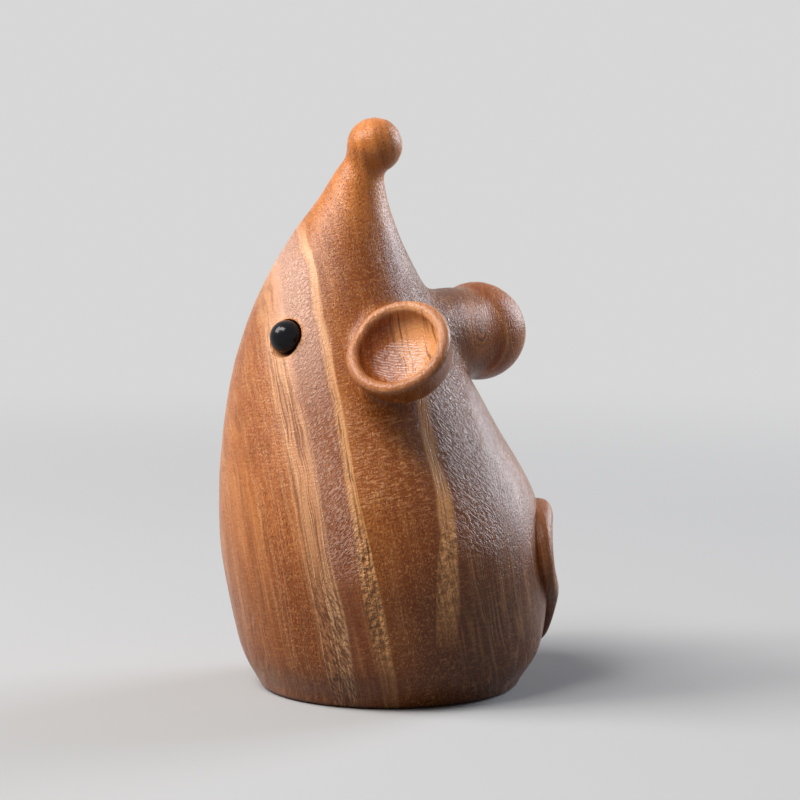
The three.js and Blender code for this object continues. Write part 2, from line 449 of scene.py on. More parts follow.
def tail_shape():
    """A round-edged ridge swept along the tail's path, its lower half sunk in the trunk."""
    places = [Vector((math.radians(azimuth) * HALF_WIDTH, height, 0)) for azimuth, height in TAIL_PATH]
    middle = [smooth_curve(places, step / TAIL_STEPS) for step in range(TAIL_STEPS + 1)]
    length = sum((after - before).length for before, after in zip(middle, middle[1:]))
    shape = bmesh.new()
    ring = bmesh.ops.create_circle(shape, segments=TAIL_SIDES, radius=1)["verts"]
    gone = 0.0
    for step, point in enumerate(middle):
        if step:
            edges = [edge for edge in shape.edges if edge.verts[0] in ring and edge.verts[1] in ring]
            fresh = bmesh.ops.extrude_edge_only(shape, edges=edges)["geom"]
            ring = [item for item in fresh if isinstance(item, bmesh.types.BMVert)]
            gone += (point - middle[step - 1]).length
        along = (middle[min(step + 1, TAIL_STEPS)] - middle[max(step - 1, 0)]).normalized()
        across = Vector((-along.y, along.x, 0))
        half = tail_width(step / TAIL_STEPS) / 2
        end = min(gone, length - gone) + TAIL_END_GAP
        swell = math.sqrt(1 - max(0.0, 1 - end / (TAIL_END_ROUND * half)) ** 2)
        for turn, vert in enumerate(ring):
            angle = math.tau * turn / TAIL_SIDES
            aside = squared(math.cos(angle)) * half * swell
            lift = squared(math.sin(angle)) * swell
            laid = point + across * aside
            vert.co = laid_on_trunk(laid, lift * tail_relief(laid.y))
    bmesh.ops.holes_fill(shape, edges=[edge for edge in shape.edges if edge.is_boundary])
    bmesh.ops.recalc_face_normals(shape, faces=shape.faces)
    return shape


# Eyes
def eye_matrix(side):
    radius, centre = section_at(EYE_HEIGHT)
    out = level_direction(EYE_AZIMUTH) * radius
    place = Vector((out.x, centre + out.y, EYE_HEIGHT))
    return aim(on_side(side, raised_direction(DRILL_AZIMUTH, DRILL_RISE)), on_side(side, place))


def socket_shape(side):
    """The drilled hole with its worn edge, and the room in front of it."""
    mouth = SOCKET_RADIUS + SOCKET_WORN_EDGE + SOCKET_OPENING
    profile = [
        (0, -SOCKET_DEPTH),
        (SOCKET_RADIUS, -SOCKET_DEPTH),
        (SOCKET_RADIUS, -SOCKET_WORN_EDGE),
        (mouth, SOCKET_WORN_EDGE + SOCKET_OPENING),
        (mouth, SOCKET_DEPTH),
        (0, SOCKET_DEPTH),
    ]
    shape = spun(profile, SOCKET_SIDES)
    bmesh.ops.transform(shape, matrix=eye_matrix(side), verts=shape.verts)
    return shape


def bead(side):
    shape = bmesh.new()
    bmesh.ops.create_uvsphere(shape, u_segments=BEAD_SIDES, v_segments=BEAD_RINGS, radius=BEAD_RADIUS)
    bmesh.ops.translate(shape, vec=(0, 0, -BEAD_SINK), verts=shape.verts)
    bmesh.ops.transform(shape, matrix=eye_matrix(side), verts=shape.verts)
    for face in shape.faces:
        face.smooth = True
    return object_from(f"bead_{side}", shape)


# Hand work on the body
def remesh(piece, size):
    step = piece.modifiers.new("remesh", "REMESH")
    step.mode = "VOXEL"
    step.voxel_size = size * MM
    step.adaptivity = 0
    settle(piece)


def soften(piece, iterations, group=""):
    step = piece.modifiers.new("soften", "SMOOTH")
    step.factor = 0.5
    step.iterations = iterations
    step.vertex_group = group
    settle(piece)


def points_of(piece):
    """The piece's points in millimetres."""
    flat = np.empty(len(piece.data.vertices) * 3)
    piece.data.vertices.foreach_get("co", flat)
    return flat.reshape(-1, 3) / MM


def put_points(piece, points):
    piece.data.vertices.foreach_set("co", (points * MM).ravel())
    piece.data.update()


def normals_of(piece):
    flat = np.empty(len(piece.data.vertices) * 3)
    piece.data.vertices.foreach_get("normal", flat)
    return flat.reshape(-1, 3)


def fade(value, start, end):
    """0 at the start and 1 at the end, changing smoothly between them."""
    share = np.clip((value - start) / (end - start), 0, 1)
    return share * share * (3 - 2 * share)


def near_surface(distance, reach):
    """1 on a surface, fading to 0 at a reach from it."""
    return fade(np.abs(distance), reach, 0)


def neck_distance(points, side):
    """How far points are from the surface of a neck that has no ends."""
    root = np.array(neck_root()) - np.array((0, 0, NECK_SAG[side]))
    run = np.array(neck_run(side).normalized())
    offset = points - root
    along = offset @ run
    return np.linalg.norm(offset - along[:, None] * run, axis=1) - neck_radius(side)


def trunk_distance(points):
    radius, centre = section_at(points[:, 2])
    return np.hypot(points[:, 0], points[:, 1] - centre) - radius


def ear_creases(points, side):
    """The creases where an ear's neck leaves the trunk, and where it meets the ear's ball from behind.

    The left ear's flared rim stays crisp.
    """
    neck = neck_distance(points, side)
    offset = points - np.array(ear_place(side))
    behind = fade(offset @ np.array(neck_run(side).normalized()), -0.6, -1.4)
    ball = np.linalg.norm(offset, axis=1) - EAR_RADIUS
    root = near_surface(trunk_distance(points), ROOT_CREASE) * near_surface(neck, ROOT_CREASE)
    nape = near_surface(ball, NAPE_CREASE) * near_surface(neck, NAPE_CREASE) * behind
    blend = np.maximum(root, nape)
    if side == "left":
        blend *= fade(offset @ np.array(ear_direction(side)), -0.4, -1.4)
    return blend * (points[:, 0] * SIDES[side] > 0)


def nose_crease(points):
    """The throat below the nose ball, which stays crisp at the snout's back."""
    offset = points - np.array(nose_place())
    ball = np.linalg.norm(offset, axis=1) - NOSE_DIAMETER / 2
    front = np.clip(0.62 - offset[:, 1] / 2.4, 0, 1)
    throat = near_surface(ball, NOSE_CREASE) * near_surface(trunk_distance(points), SNOUT_CREASE)
    return throat * front * fade(points[:, 2], 43, 45)


def weigh_creases(piece):
    """Marks how near each vertex is to a crease that was worked into a hollow."""
    points = points_of(piece)
    weights = np.maximum(ear_creases(points, "left"), ear_creases(points, "right"))
    left, right = (near_surface(neck_distance(points, side), NECKS_CREASE) for side in SIDES)
    weights = np.maximum(weights, left * right)
    weights *= fade(points[:, 2], 23, 25) * fade(points[:, 2], 40, 38)
    weights = np.clip(CREASE_STRENGTH * np.maximum(weights, nose_crease(points)), 0, 1)
    group = piece.vertex_groups.new(name="creases")
    for index in np.nonzero(weights > 0.01)[0]:
        group.add([int(index)], float(weights[index]), "REPLACE")
    return group.name


def hand_wave(piece):
    """The slight waviness that hand sanding leaves."""
    points, normals = points_of(piece), normals_of(piece)
    wave = np.array([noise.noise(point / HAND_WAVE_LENGTH) for point in map(Vector, points)])
    wave += 0.5 * np.array([noise.noise(point / HAND_WAVE_LENGTH * 3) for point in map(Vector, points)])
    wave *= HAND_WAVE_HEIGHT * fade(points[:, 2], 0.1, 0.9)
    put_points(piece, points + normals * wave[:, None])


def about_ear(points, side):
    """Points as seen from an ear: offsets from its middle, heights along its axis, and how far out from it
    they are, as vectors and as distances."""
    offset = points - np.array(ear_place(side))
    height = offset @ np.array(ear_direction(side))
    out = offset - height[:, None] * np.array(ear_direction(side))
    return offset, height, out, np.linalg.norm(out, axis=1)


def dish_axes(side):
    """The directions across an ear's dish and up it."""
    facing = ear_direction(side)
    across = facing.cross(Vector((0, 0, 1))).normalized()
    return across, across.cross(facing)


def refine_ears(piece):
    """Finer faces over the ears' rims and in their dishes."""
    shape = bmesh.new()
    shape.from_mesh(piece.data)
    points = points_of(piece)
    chosen = np.zeros(len(points), bool)
    for side in SIDES:
        offset, height, out, radius = about_ear(points, side)
        level = height - RIM_CENTRE_HEIGHT
        inside = (radius < rim_reach(side) - 0.1) & (height > 0.3 - DISH_DEPTH)
        inside &= np.linalg.norm(offset, axis=1) < EAR_RADIUS + 0.3
        rim = (np.abs(radius - rim_reach(side)) < 0.9) & (np.abs(level) < 0.9)
        hollow = DISH_DEPTH * np.sqrt(np.clip(1 - (radius / rim_reach(side)) ** 2, 0, 1))
        inside &= np.abs(level + hollow) < 0.9
        chosen |= inside | rim
    edges = [edge for edge in shape.edges if chosen[edge.verts[0].index] and chosen[edge.verts[1].index]]
    bmesh.ops.subdivide_edges(shape, edges=edges, cuts=2, use_grid_fill=True)
    shape.to_mesh(piece.data)
    shape.free()


def true_ears(piece):
    """Brings the ears' faces onto their turned outline, away from the necks."""
    points = points_of(piece)
    for side in SIDES:
        offset, height, out, radius = about_ear(points, side)
        near = np.nonzero(np.linalg.norm(offset, axis=1) < EAR_RADIUS + 0.5)[0]
        outline = np.array(ear_profile(side, *EAR_FINE_STEPS))
        seen = np.stack([radius[near], height[near]], axis=1)
        start, step = outline[:-1], np.diff(outline, axis=0)
        share = ((seen[:, None] - start) * step).sum(axis=2) / (step**2).sum(axis=1)
        foot = start + np.clip(share, 0, 1)[..., None] * step
        away = np.linalg.norm(seen[:, None] - foot, axis=2)
        target = foot[np.arange(len(near)), away.argmin(axis=1)]
        run = np.array(neck_run(side).normalized())
        weight = fade(away.min(axis=1), 0.45, 0.25) * fade(offset[near] @ run, -1.9, -0.9)
        scale = target[:, 0] / np.maximum(radius[near], 1e-6)
        axis = np.array(ear_direction(side))
        moved = np.array(ear_place(side)) + out[near] * scale[:, None] + target[:, 1][:, None] * axis
        points[near] += (moved - points[near]) * weight[:, None]
    put_points(piece, points)


def carve_dishes(piece):
    """The ripples that the gouge left on the dishes' floors."""
    points = points_of(piece)
    for side in SIDES:
        facing = np.array(ear_direction(side))
        across, upward = dish_axes(side)
        reach = rim_reach(side)
        offset, height, out, radius = about_ear(points, side)
        hollow = (radius < reach) & (height < RIM_CENTRE_HEIGHT - 0.2) & (height > 0.1 - DISH_DEPTH)
        hollow &= np.linalg.norm(offset, axis=1) < EAR_RADIUS - 0.1
        for index in np.nonzero(hollow)[0]:
            point = Vector(points[index])
            place = Vector(offset[index])
            rise = place.dot(upward) + 0.3 * noise.noise(point / 1.4) + 0.03 * place.dot(across) ** 2
            ripple = math.sin(math.tau * rise / RIPPLE_PITCH) * (0.7 + 0.9 * noise.noise(point / 0.8))
            depth = float(fade(radius[index], reach - 0.6, reach - 1.7))
            depth *= float(fade(place.dot(upward), 1.6, 0.4))
            points[index] += facing * ripple * RIPPLE_HEIGHT * depth
    put_points(piece, points)


def close_slivers(piece):
    """Takes away the hair-thin faces that joining leaves along a seam."""
    shape = bmesh.new()
    shape.from_mesh(piece.data)
    bmesh.ops.triangulate(shape, faces=[face for face in shape.faces if len(face.verts) > 4])
    bmesh.ops.dissolve_degenerate(shape, dist=SLIVER * MM, edges=shape.edges)
    bmesh.ops.remove_doubles(shape, verts=shape.verts, dist=SLIVER * MM)
    loose = [vertex for vertex in shape.verts if not vertex.link_faces]
    bmesh.ops.delete(shape, geom=loose, context="VERTS")
    shape.to_mesh(piece.data)
    shape.free()


def carved_wood():
    """Trunk, nose, ears and necks as one hand-worked surface, with the tail added and the eyes drilled."""
    shapes = [trunk_shape(), nose_shape(), ear_shape("left"), ear_shape("right")]
    parts = [object_from("part", shape) for shape in shapes] + [neck_piece(side) for side in SIDES]
    body = gathered("carved_wood", parts)
    remesh(body, SURFACE_PITCH)
    soften(body, SANDING_ROUNDS)
    soften(body, FILING_ROUNDS, weigh_creases(body))
    refine_ears(body)
    true_ears(body)
    hand_wave(body)
    carve_dishes(body)
    work(body, "UNION", object_from("tail", tail_shape()))
    for side in SIDES:
        work(body, "DIFFERENCE", object_from("socket", socket_shape(side)))
    close_slivers(body)
    body.vertex_groups.clear()
    body.data.materials.clear()
    for polygon in body.data.polygons:
        polygon.use_smooth = True
        polygon.material_index = 0
    body.data.set_sharp_from_angle(angle=math.radians(SHARP_ANGLE))
    return body


# Wear, glue, and where sheen and shade are painted on the ears, kept as attributes of the body's points from
# 0 to 1
def worn_rim_and_sheen(points, side):
    offset, height, out, radius = about_ear(points, side)
    from_crest = np.hypot(radius - rim_reach(side), height - RIM_CENTRE_HEIGHT)
    # Painted sheen: the rims are paler towards their tops, where the light falls
    upper = 0.6 + 0.4 * fade(points[:, 2], EAR_HEIGHT, EAR_HEIGHT + 2.5)
    return fade(from_crest, 1.05, 0.55) * fade(height, 0.3, 0.8) * upper


def in_dish(points, side):
    offset, height, out, radius = about_ear(points, side)
    within = np.linalg.norm(offset, axis=1) < EAR_RADIUS + 0.1
    return fade(radius, rim_reach(side), rim_reach(side) - 0.5) * fade(height, -3.0, -2.8) * within


def ripples_and_sheen_patch(points, side):
    """The gouge's ripples, with a sheen painted on them, show in a round patch a little below the dish's
    middle.
    """
    offset, height, out, radius = about_ear(points, side)
    within = np.linalg.norm(offset, axis=1) < EAR_RADIUS + 0.1
    across, upward = dish_axes(side)
    up, aside = offset @ np.array(upward), offset @ np.array(across)
    return fade(np.hypot(up + 0.55, (aside - 0.25) / 1.1), 2.4, 1.7) * within * fade(height, 0.1, -0.3)


def on_ear(points, side):
    away = np.linalg.norm(points - np.array(ear_place(side)), axis=1)
    return fade(away, EAR_RADIUS + 0.5, EAR_RADIUS + 0.2)


def about_socket(points, side):
    """Points' distances off an eye's drilled hole and their heights along it."""
    turned = np.array(eye_matrix(side).inverted())
    local = points @ turned[:3, :3].T + turned[:3, 3]
    return np.hypot(local[:, 0], local[:, 1]), local[:, 2]


def socket_edge(points, side):
    radius, height = about_socket(points, side)
    return fade(np.abs(radius - SOCKET_RADIUS - 0.1), 0.3, 0.1) * fade(np.abs(height), 0.7, 0.4)


def glue_stain(points, side):
    radius, height = about_socket(points, side)
    return (radius < SOCKET_RADIUS + 0.02) * fade(height, 0.0, -0.2) * (height > -3)


WEAR_AND_PAINTED_LIGHT = {
    "rim": worn_rim_and_sheen,
    "dish": in_dish,
    "ripples_and_sheen": ripples_and_sheen_patch,
    "ear": on_ear,
    "socket": socket_edge,
    "stain": glue_stain,
}


def mark_wear_and_painted_light(piece):
    points = points_of(piece)
    for name, wear in WEAR_AND_PAINTED_LIGHT.items():
        values = np.maximum(wear(points, "left"), wear(points, "right"))
        layer = piece.data.attributes.new(name, "FLOAT", "POINT")
        layer.data.foreach_set("value", values.astype(np.float32))


# Materials
def linear(red, green, blue):
    """A colour of 0 to 255 as shown on a screen, as a shader's colour."""
    parts = []
    for value in (red, green, blue):
        share = value / 255
        parts.append(share / 12.92 if share <= 0.04045 else ((share + 0.055) / 1.055) ** 2.4)
    return (*parts, 1.0)


class Tree:
    """Short ways to add nodes to a material or world."""

    def __init__(self, owner):
        owner.use_nodes = True
        self.tree = owner.node_tree
        self.tree.nodes.clear()

    def feed(self, socket, value):
        if isinstance(value, bpy.types.NodeSocket):
            self.tree.links.new(value, socket)
        else:
            socket.default_value = value

    def node(self, kind, inputs=(), **settings):
        made = self.tree.nodes.new(kind)
        for key, value in settings.items():
            setattr(made, key, value)
        for key, value in dict(inputs).items():
            self.feed(made.inputs[key], value)
        return made

    def math(self, operation, one, two=0.0):
        return self.node("ShaderNodeMath", {0: one, 1: two}, operation=operation).outputs[0]

    def plus(self, one, two):
        return self.math("ADD", one, two)

    def less(self, one, two):
        return self.math("SUBTRACT", one, two)

    def times(self, one, *others):
        for other in others:
            one = self.math("MULTIPLY", one, other)
        return one

    def greater(self, one, two):
        return self.math("MAXIMUM", one, two)

    def away(self, value, centre):
        return self.math("ABSOLUTE", self.less(value, centre))

    def vector(self, x, y, z):
        return self.node("ShaderNodeCombineXYZ", {0: x, 1: y, 2: z}).outputs[0]

    def vectors(self, operation, one, two):
        return self.node("ShaderNodeVectorMath", {0: one, 1: two}, operation=operation)

    def dot(self, vector, direction):
        return self.vectors("DOT_PRODUCT", vector, direction).outputs["Value"]

    def length(self, vector):
        return self.node("ShaderNodeVectorMath", {0: vector}, operation="LENGTH").outputs["Value"]

    def attribute(self, name):
        return self.node("ShaderNodeAttribute", attribute_name=name).outputs["Fac"]

    def place(self):
        return self.node("ShaderNodeTexCoord").outputs["Object"]

    def noise(self, vector, scale=1.0, detail=2.0, roughness=0.5):
        inputs = {"Vector": vector, "Scale": scale, "Detail": detail, "Roughness": roughness}
        return self.node("ShaderNodeTexNoise", inputs).outputs["Fac"]

    def band(self, value, low, high, start=0.0, end=1.0, kind="SMOOTHSTEP"):
        """Changes from start, where the value is low, to end, where it is high, and stays within them."""
        inputs = {"Value": value, "From Min": low, "From Max": high, "To Min": start, "To Max": end}
        return self.node("ShaderNodeMapRange", inputs, interpolation_type=kind).outputs["Result"]

    def hump(self, value, centre, width, soft):
        """1 within a width about a centre, with soft edges."""
        return self.band(self.away(value, centre), width / 2 - soft, width / 2 + soft, 1.0, 0.0)

    def mix(self, share, one, two, blend="MIX"):
        made = self.node("ShaderNodeMix", {0: share, 6: one, 7: two}, data_type="RGBA", blend_type=blend)
        return made.outputs[2]

    def surface(self, kind, inputs, output="ShaderNodeOutputMaterial"):
        """Adds a shader and makes it the one that shows."""
        shader = self.node(kind, inputs)
        self.tree.links.new(shader.outputs[0], self.node(output).inputs[0])


# The layers of growth stand nearly upright: a point's place in them is measured along LAYER_NORMAL, and
# the fibres run along FIBRE_RUN.
LAYER_NORMAL = Vector((-0.417, 0.913, 0.178))
FIBRE_RUN = Vector((0.06, -0.165, 0.984)).normalized()
LAYER_RUN = LAYER_NORMAL.cross(FIBRE_RUN).normalized()

# Zones of the layers, as (place in the layers, width, softness of the edges), and the two stripes' places.
# The brow's zone is where a sheen is painted
PALE_BAND = (-4.5, 2.5, 0.5)
FRONT_FLECKS = (-2.1, 2.5, 0.5)
BACK_FLECKS = (9.7, 3.4, 0.8)
PLAIN_WOOD = (3.2, 6.2, 0.5)
SPECKLED_WOOD = (-7.4, 3.4, 0.8)
BROW_SHEEN = (-2.2, 3.0, 1.1)
FIRST_STRIPE = -0.52
SECOND_STRIPE = 7.2

# The wood's tones from the mouse's front to its back, as (place in the layers, colour)
TONES = [
    (-16, (178, 108, 54)),
    (-12, (190, 116, 58)),
    (-9.6, (180, 106, 50)),
    (-8.4, (164, 92, 44)),
    (-6.2, (166, 94, 46)),
    (-5.4, (200, 140, 96)),
    (-3.6, (200, 142, 104)),
    (-3.0, (168, 104, 68)),
    (-1.5, (156, 86, 44)),
    (-0.1, (158, 86, 20)),
    (2.6, (140, 70, 12)),
    (5.8, (124, 60, 10)),
    (8.2, (112, 58, 20)),
    (11, (108, 56, 20)),
    (14, (128, 66, 20)),
    (18, (176, 100, 44)),
]

# The colour of each mark. Most are the wood's own. The snout's light, the foot's shade, the ears' shade, the
# brow's sheen, the ridges' sheen, the shade in the knobs' hollows, the rims' sheen and the dish floors'
# sheen are painted light and shade
MARK_COLOURS = {
    "painted snout light": (224, 134, 62),
    "painted foot shade": (74, 34, 8),
    # painted shade on the ears' balls
    "ear": (150, 72, 14),
    "dark streak": (112, 56, 20),
    "pale streak": (200, 140, 84),
    "stripe": (226, 164, 106),
    "dark line": (96, 50, 22),
    "pale line": (226, 178, 130),
    "slit": (92, 50, 24),
    "wavy figure": (206, 146, 96),
    "dark speck": (106, 50, 16),
    "pale speck": (212, 152, 88),
    "fleck ground": (122, 68, 44),
    "brow_sheen": (238, 194, 172),
    "ridge_and_sheen": (204, 160, 138),
    "pore": (92, 46, 18),
    "pit": (84, 40, 14),
    "knob_hollow_grain_and_shade": (112, 62, 24),
    "bull's-eye": (186, 108, 44),
    "bull's-eye ring": (96, 48, 14),
    "dish's pale side": (222, 156, 100),
    "dish's line": (104, 54, 24),
    "worn edge and sheen": (222, 160, 114),
    "glue": (196, 104, 24),
    "painted ripple sheen": (236, 208, 200),
}
# Painted shade, multiplied into the colour towards the base
FOOT_SHADE = (0.62, 0.5, 0.4, 1)
BULLSEYE = (-5.1, 7.0, 32.3)
BULLSEYE_FLATTENING = (1.0, 1.0, 0.6)
BULLSEYE_PITCH = 0.42
SHEEN_RIPPLE_PITCH = 0.28
LEVEL_ACROSS = Vector((-0.07, -0.998, 0))


class Wood:
    """The carving's wood, its marks and its painted light and shade laid one over the other as nodes."""

    def __init__(self):
        self.material = bpy.data.materials.new("carved_wood")
        self.t = Tree(self.material)
        self.measure()
        self.find_zones()
        self.lay_tones()
        self.lay_stripes()
        self.lay_lines()
        self.lay_specks()
        self.lay_flecks()
        self.lay_pores()
        self.lay_knobs()
        self.lay_bullseye()
        self.wear_ears_and_paint_sheen()
        self.finish()

    # Lays a colour over the wood, for its own marks and for painted light and shade alike
    def stain(self, share, name):
        self.colour = self.t.mix(share, self.colour, linear(*MARK_COLOURS[name]))

    def stretched(self, fineness, length):
        """Places drawn out along the fibres: marks to a millimetre across the fibres, and along them."""
        t = self.t
        x, y = t.times(self.across, fineness), t.times(self.sideways, fineness)
        return t.vector(x, y, t.times(self.along, length))

    def fibres(self, fineness, length, detail=2.0, roughness=0.5, slant=0, shift=0.0, sheet=None):
        """Marks along the fibres: how many to a millimetre across them and along them, and how slanted.

        Sheet is how many there are to a millimetre within a layer, where that isn't as many as across.
        """
        t = self.t
        turn = math.radians(slant)
        x = t.plus(t.times(self.layer, math.cos(turn)), t.times(self.along, math.sin(turn)))
        y = t.times(self.sideways, sheet or fineness)
        z = t.less(t.times(self.layer, math.sin(turn)), t.times(self.along, math.cos(turn)))
        place = t.vector(t.plus(t.times(x, fineness), shift), y, t.times(z, length))
        return t.noise(place, 1.0, detail, roughness)

    def measure(self):
        """Each point's place in the wood; the layers wander a little, and their lines tremble."""
        t = self.t
        millimetres = {"Vector": t.place(), "Scale": (1000, 1000, 1000)}
        self.place = t.node("ShaderNodeMapping", millimetres).outputs[0]
        self.across = t.dot(self.place, LAYER_NORMAL)
        self.along = t.dot(self.place, FIBRE_RUN)
        self.sideways = t.dot(self.place, LAYER_RUN)
        self.height = t.node("ShaderNodeSeparateXYZ", {0: self.place}).outputs[2]
        wander = t.times(t.less(t.noise(self.stretched(0.12, 0.07), 1.0, 1.0), 0.5), 1.3)
        tremble = t.times(t.less(t.noise(self.stretched(0.7, 0.12), 1.0, 1.0), 0.5), 0.5)
        self.layer = t.plus(t.plus(self.across, wander), tremble)

    def find_zones(self):
        """Where each kind of mark lies."""
        t, layer, height = self.t, self.layer, self.height
        self.ear = t.attribute("ear")
        self.dish = t.attribute("dish")
        self.body = t.less(1.0, self.ear)
        self.pale_band = t.times(t.hump(layer, *PALE_BAND), self.body)
        self.front_flecks = t.times(t.hump(layer, *FRONT_FLECKS), t.band(height, 10, 15), self.body)
        on_back = t.times(t.band(height, 12.5, 16.5), t.band(height, 40, 33))
        self.back_flecks = t.times(t.hump(layer, *BACK_FLECKS), on_back, self.body)
        self.plain = t.hump(layer, *PLAIN_WOOD)
        self.speckled = t.greater(t.hump(layer, *SPECKLED_WOOD), self.plain)
        self.low = t.band(height, 16, 8)
        self.below_eye = t.band(height, 35, 30.5, 0.15, 1.0)

    def lay_tones(self):
        t, layer, height = self.t, self.layer, self.height
        first, last = TONES[0][0], TONES[-1][0]
        steps = t.node("ShaderNodeValToRGB", {0: t.band(layer, first, last, kind="LINEAR")})
        ramp = steps.color_ramp
        while len(ramp.elements) < len(TONES):
            ramp.elements.new(0.5)
        for element, (where, tone) in zip(ramp.elements, TONES):
            element.position = (where - first) / (last - first)
            element.color = linear(*tone)
        self.colour = steps.outputs[0]
        # Painted light: the snout is made lighter towards its top, where the light falls on it
        self.stain(t.band(height, 38, 46, 0.0, 0.75), "painted snout light")
        # Painted shade: the lower back is darkened towards the base
        self.stain(t.times(t.band(height, 15, 5), t.band(layer, 0.5, 5, 0.1, 0.6)), "painted foot shade")
        # Painted shade: the ears' balls are darkened and reddened, standing in for the shade under them
        self.stain(t.times(self.ear, 0.6), "ear")
        # Painted shade: the whole carving is darkened towards its base
        self.colour = t.mix(t.band(height, 22, 3, 0.0, 0.8), self.colour, FOOT_SHADE, "MULTIPLY")

    def lay_stripes(self):
        """Soft broad streaks everywhere, then the two pale stripes, which widen downwards."""
        t, layer, height = self.t, self.layer, self.height
        widen = t.band(height, 20, 10, 0.0, 0.32)
        first = t.band(t.less(t.away(layer, FIRST_STRIPE), widen), 0.52, 0.28)
        first = t.times(first, t.band(height, 43.5, 39), t.band(height, 2, 8, 0.35, 1.0))
        drift = t.times(t.greater(t.less(16.0, height), 0.0), 0.21)
        second_away = t.math("ABSOLUTE", t.plus(t.less(layer, SECOND_STRIPE), drift))
        second = t.band(t.less(second_away, t.times(widen, 1.4)), 0.72, 0.35)
        second = t.times(second, t.band(height, 34, 30), t.band(height, 5, 10))
        self.stripes = t.times(t.greater(t.times(first, 0.9), t.times(second, 0.8)), self.body)

        self.soft = self.fibres(1.5, 0.1, 3.0, 0.6, sheet=0.4)
        self.stain(t.band(self.soft, 0.42, 0.72, 0.0, 0.45), "dark streak")
        self.stain(t.band(self.soft, 0.5, 0.25, 0.0, 0.35), "pale streak")
        self.thin = self.fibres(4.0, 0.09, 2.0, 0.55, shift=20.0, sheet=0.3)
        self.stain(t.times(self.stripes, t.band(self.thin, 0.3, 0.5, 0.4, 0.95)), "stripe")

    def lay_lines(self):
        """Long lines, most of them in the pale band and stripes, slits in the stripes, and a wavy figure."""
        t = self.t
        self.line = t.band(self.fibres(8.0, 0.09, 1.0, shift=40.0, sheet=0.25), 0.53, 0.66)
        marked = t.times(self.pale_band, t.band(self.low, 0, 1, 0.68, 0.35))
        marked = t.times(t.plus(marked, t.times(self.stripes, 0.6)), self.below_eye)
        dark = t.times(self.line, t.greater(marked, t.band(self.plain, 0, 1, 0.22, 0.1)))
        self.stain(dark, "dark line")
        pale = t.times(self.pale_band, self.below_eye, 0.75)
        pale = t.greater(pale, t.band(self.plain, 0, 1, 0.18, 0.05))
        pale_line = t.band(self.fibres(6.5, 0.08, 1.0, shift=60.0, sheet=0.25), 0.54, 0.68)
        self.stain(t.times(pale_line, pale), "pale line")

        slit = t.band(self.fibres(3.4, 0.22, 1.0, shift=30.0, sheet=0.3), 0.64, 0.7)
        self.slit = t.times(slit, self.stripes, self.below_eye)
        self.stain(t.times(self.slit, 0.7), "slit")
        crossed = t.noise(self.stretched(1.3, 5.2), 1.0, 2.0, 0.6)
        wavy = t.times(self.plain, t.hump(self.height, 22.0, 9.0, 2.0))
        self.stain(t.times(t.band(crossed, 0.5, 0.66), t.band(wavy, 0, 1, 0.18, 0.45)), "wavy figure")
        self.relief = t.less(t.times(crossed, t.band(wavy, 0, 1, 0.8, 2.0)), t.times(dark, 0.9))

    def lay_specks(self):
        """The speckle of cut fibre ends."""
        t = self.t
        self.speckle = self.fibres(7.5, 3.8, 2.0, 0.7, shift=80.0)
        dark = t.greater(t.times(self.speckled, 0.75), 0.3)
        self.stain(t.times(t.band(self.speckle, 0.5, 0.7), dark), "dark speck")
        pale = t.greater(t.times(self.speckled, 0.55), 0.15)
        self.stain(t.times(t.band(self.speckle, 0.46, 0.3), pale), "pale speck")
        self.relief = t.plus(self.relief, t.times(self.speckle, 1.1))

    def lay_flecks(self):
        """Slanting flecks, which are little ridges that catch the light, pale partly in the wood and partly
        as painted sheen, and a painted sheen on the brow by the eye.
        """
        t, layer, height = self.t, self.layer, self.height
        front = t.band(self.fibres(6.6, 2.8, 2.0, 0.6, slant=-44, shift=100.0), 0.44, 0.6)
        back = t.band(self.fibres(4.6, 1.7, 2.0, 0.6, slant=40, shift=110.0), 0.44, 0.6)
        ridge_and_sheen = t.greater(t.times(front, self.front_flecks), t.times(back, self.back_flecks))
        ground = t.greater(self.front_flecks, self.back_flecks)
        self.stain(t.times(ground, t.band(height, 27, 34, 0.35, 0.0)), "fleck ground")
        brow_sheen = t.times(t.hump(layer, *BROW_SHEEN), t.band(height, 24, 34), t.band(height, 44.5, 38))
        # Painted sheen on the brow
        self.stain(t.times(brow_sheen, self.body, 0.52), "brow_sheen")
        # The ridges' pale colour is partly the wood's raised fibres and partly painted sheen
        self.stain(t.times(ridge_and_sheen, t.band(layer, 2, 4, 0.5, 0.3)), "ridge_and_sheen")
        self.relief = t.plus(self.relief, t.times(ridge_and_sheen, 1.8))

    def lay_pores(self):
        """The fan of dark pores low on the pale band, and small pits everywhere."""
        t = self.t
        pores = self.fibres(6.4, 1.3, 2.0, slant=20, shift=120.0, sheet=2.0)
        pores = t.times(t.band(pores, 0.47, 0.58), self.pale_band, self.low)
        self.stain(t.times(pores, 0.7), "pore")
        calm = t.band(t.greater(self.pale_band, self.stripes), 0.0, 0.6, 1.0, 0.15)
        pit = t.times(t.band(self.fibres(7.5, 1.5, 1.0, shift=140.0), 0.68, 0.74), calm)
        self.stain(t.times(pit, 0.4), "pit")
        self.relief = t.less(self.relief, t.plus(pores, t.times(t.greater(pit, self.slit), 1.2)))

    def lay_knobs(self):
        """Knobbly grain low on the stripes, darker in the hollows between the knobs: partly the grain's
        brown, partly painted shade.
        """
        t = self.t
        knobs = t.noise(self.stretched(2.3, 1.8))
        knobbly = t.times(self.stripes, t.band(self.height, 19, 14))
        # The hollows between the knobs are darkened, partly as painted shade
        self.stain(t.times(t.band(knobs, 0.56, 0.36), t.times(knobbly, 0.75)), "knob_hollow_grain_and_shade")
        self.relief = t.plus(self.relief, t.times(t.less(knobs, 0.5), t.times(knobbly, 11.0)))

